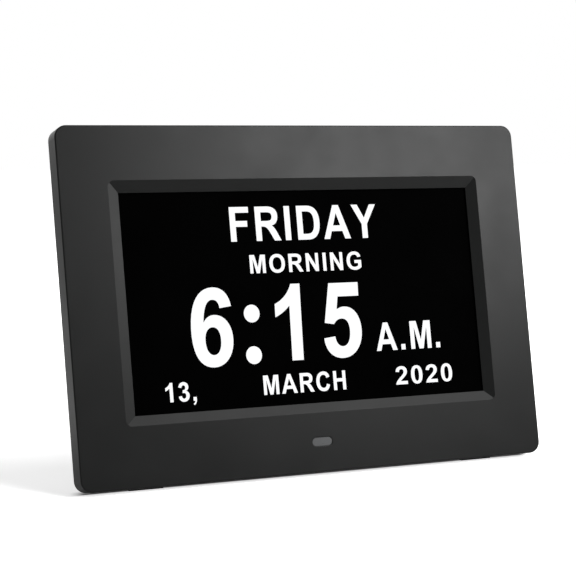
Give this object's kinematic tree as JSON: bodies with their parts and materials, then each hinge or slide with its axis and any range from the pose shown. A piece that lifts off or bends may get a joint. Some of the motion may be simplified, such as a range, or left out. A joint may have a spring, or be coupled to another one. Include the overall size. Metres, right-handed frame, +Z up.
{
  "type": "dementia day clock",
  "caption": "Leaned picture-frame day clock with a black calendar screen, rear keys, a speaker, sockets, wall hooks and a fold-out leg.",
  "frame": {"origin": "middle of the clock's footprint on the table, with the leg open", "axes": "+Z up, the screen faces -Y and leans back by 11.7 degrees, +X to the viewer's right"},
  "size_m": [0.2318, 0.0633, 0.1604],
  "materials": {
    "front_frame": "moulded dark grey plastic, fine matt texture",
    "back_cover": "moulded black plastic, spark-eroded texture",
    "leg_plastic": "moulded black plastic, satin",
    "sensor_window": "smoked grey window for infrared light",
    "screen": "black anti-glare display glass with lit white characters",
    "white_plastic": "white reflector plastic and diffuser film",
    "clear_acrylic": "clear acrylic light guide",
    "lamp_strip": "white film with yellow phosphor lamps",
    "circuit_board": "green solder mask with copper tracks",
    "black_component": "black moulded electronic component",
    "connector_plastic": "cream nylon connector",
    "capacitor_sleeve": "dark blue shrink sleeve",
    "ferrite": "dark grey ferrite",
    "ribbon_film": "amber polyimide ribbon",
    "lead_insulation": "thin PVC lead insulation",
    "key_plastic": "moulded black key caps, satin",
    "plunger_plastic": "black switch plungers",
    "speaker_cone": "pressed black paper cone",
    "rubber": "soft black rubber",
    "plated_metal": "tin-plated steel",
    "steel": "zinc-plated steel"
  },
  "bodies": {
    "clock": {"front_bezel": "front_frame", "sensor_window": "sensor_window", "sensor_board": "circuit_board", "sensor_receiver": "black_component", "sensor_screws": "steel", "sensor_leads": "lead_insulation", "lcd_frame": "steel", "lcd_glass": "screen", "diffuser_sheets": "white_plastic", "light_guide": "clear_acrylic", "led_strip": "lamp_strip", "lcd_tray": "white_plastic", "lcd_ribbon": "ribbon_film", "lcd_brackets": "steel", "bracket_screws": "steel", "main_board": "circuit_board", "processor": "black_component", "memory_chips": "black_component", "crystal": "plated_metal", "capacitors": "capacitor_sleeve", "power_inductor": "ferrite", "ribbon_connector": "connector_plastic", "cell_holder": "black_component", "coin_cell": "plated_metal", "dc_jack": "black_component", "usb_port": "plated_metal", "card_socket": "plated_metal", "board_screws": "steel", "key_board": "circuit_board", "key_switches": "plated_metal", "key_board_screws": "steel", "key_ribbon": "ribbon_film", "speaker_basket": "steel", "speaker_cone": "speaker_cone", "speaker_screws": "steel", "speaker_leads": "lead_insulation", "rear_cover": "back_cover", "case_screws": "steel", "hinge_pin": "steel", "frame_feet": "rubber"},
    "leg": {"stand_leg": "leg_plastic", "stand_foot": "rubber"},
    "power_key": {"power_button": "key_plastic", "power_plunger": "plunger_plastic"},
    "menu_key": {"menu_button": "key_plastic", "menu_plunger": "plunger_plastic"},
    "left_key": {"left_button": "key_plastic", "left_plunger": "plunger_plastic"},
    "up_key": {"up_button": "key_plastic", "up_plunger": "plunger_plastic"},
    "down_key": {"down_button": "key_plastic", "down_plunger": "plunger_plastic"},
    "right_key": {"right_button": "key_plastic", "right_plunger": "plunger_plastic"},
    "ok_key": {"ok_button": "key_plastic", "ok_plunger": "plunger_plastic"}
  },
  "joints": [
    {"name": "leg_hinge", "type": "hinge", "parent": "clock", "child": "leg", "pos_m": [0, 0.00774, 0.08367], "axis": [1, 0, 0], "range_deg": [-26, 0]},
    {"name": "power_press", "type": "slide", "parent": "clock", "child": "power_key", "axis": [0, -0.9792, 0.2028], "range_m": [0, 0.0004], "stiffness_N_per_m": 3000, "springref_m": -0.0001},
    {"name": "menu_press", "type": "slide", "parent": "clock", "child": "menu_key", "axis": [0, -0.9792, 0.2028], "range_m": [0, 0.0004], "stiffness_N_per_m": 3000, "springref_m": -0.0001},
    {"name": "left_press", "type": "slide", "parent": "clock", "child": "left_key", "axis": [0, -0.9792, 0.2028], "range_m": [0, 0.0004], "stiffness_N_per_m": 3000, "springref_m": -0.0001},
    {"name": "up_press", "type": "slide", "parent": "clock", "child": "up_key", "axis": [0, -0.9792, 0.2028], "range_m": [0, 0.0004], "stiffness_N_per_m": 3000, "springref_m": -0.0001},
    {"name": "down_press", "type": "slide", "parent": "clock", "child": "down_key", "axis": [0, -0.9792, 0.2028], "range_m": [0, 0.0004], "stiffness_N_per_m": 3000, "springref_m": -0.0001},
    {"name": "right_press", "type": "slide", "parent": "clock", "child": "right_key", "axis": [0, -0.9792, 0.2028], "range_m": [0, 0.0004], "stiffness_N_per_m": 3000, "springref_m": -0.0001},
    {"name": "ok_press", "type": "slide", "parent": "clock", "child": "ok_key", "axis": [0, -0.9792, 0.2028], "range_m": [0, 0.0004], "stiffness_N_per_m": 3000, "springref_m": -0.0001}
  ]
}
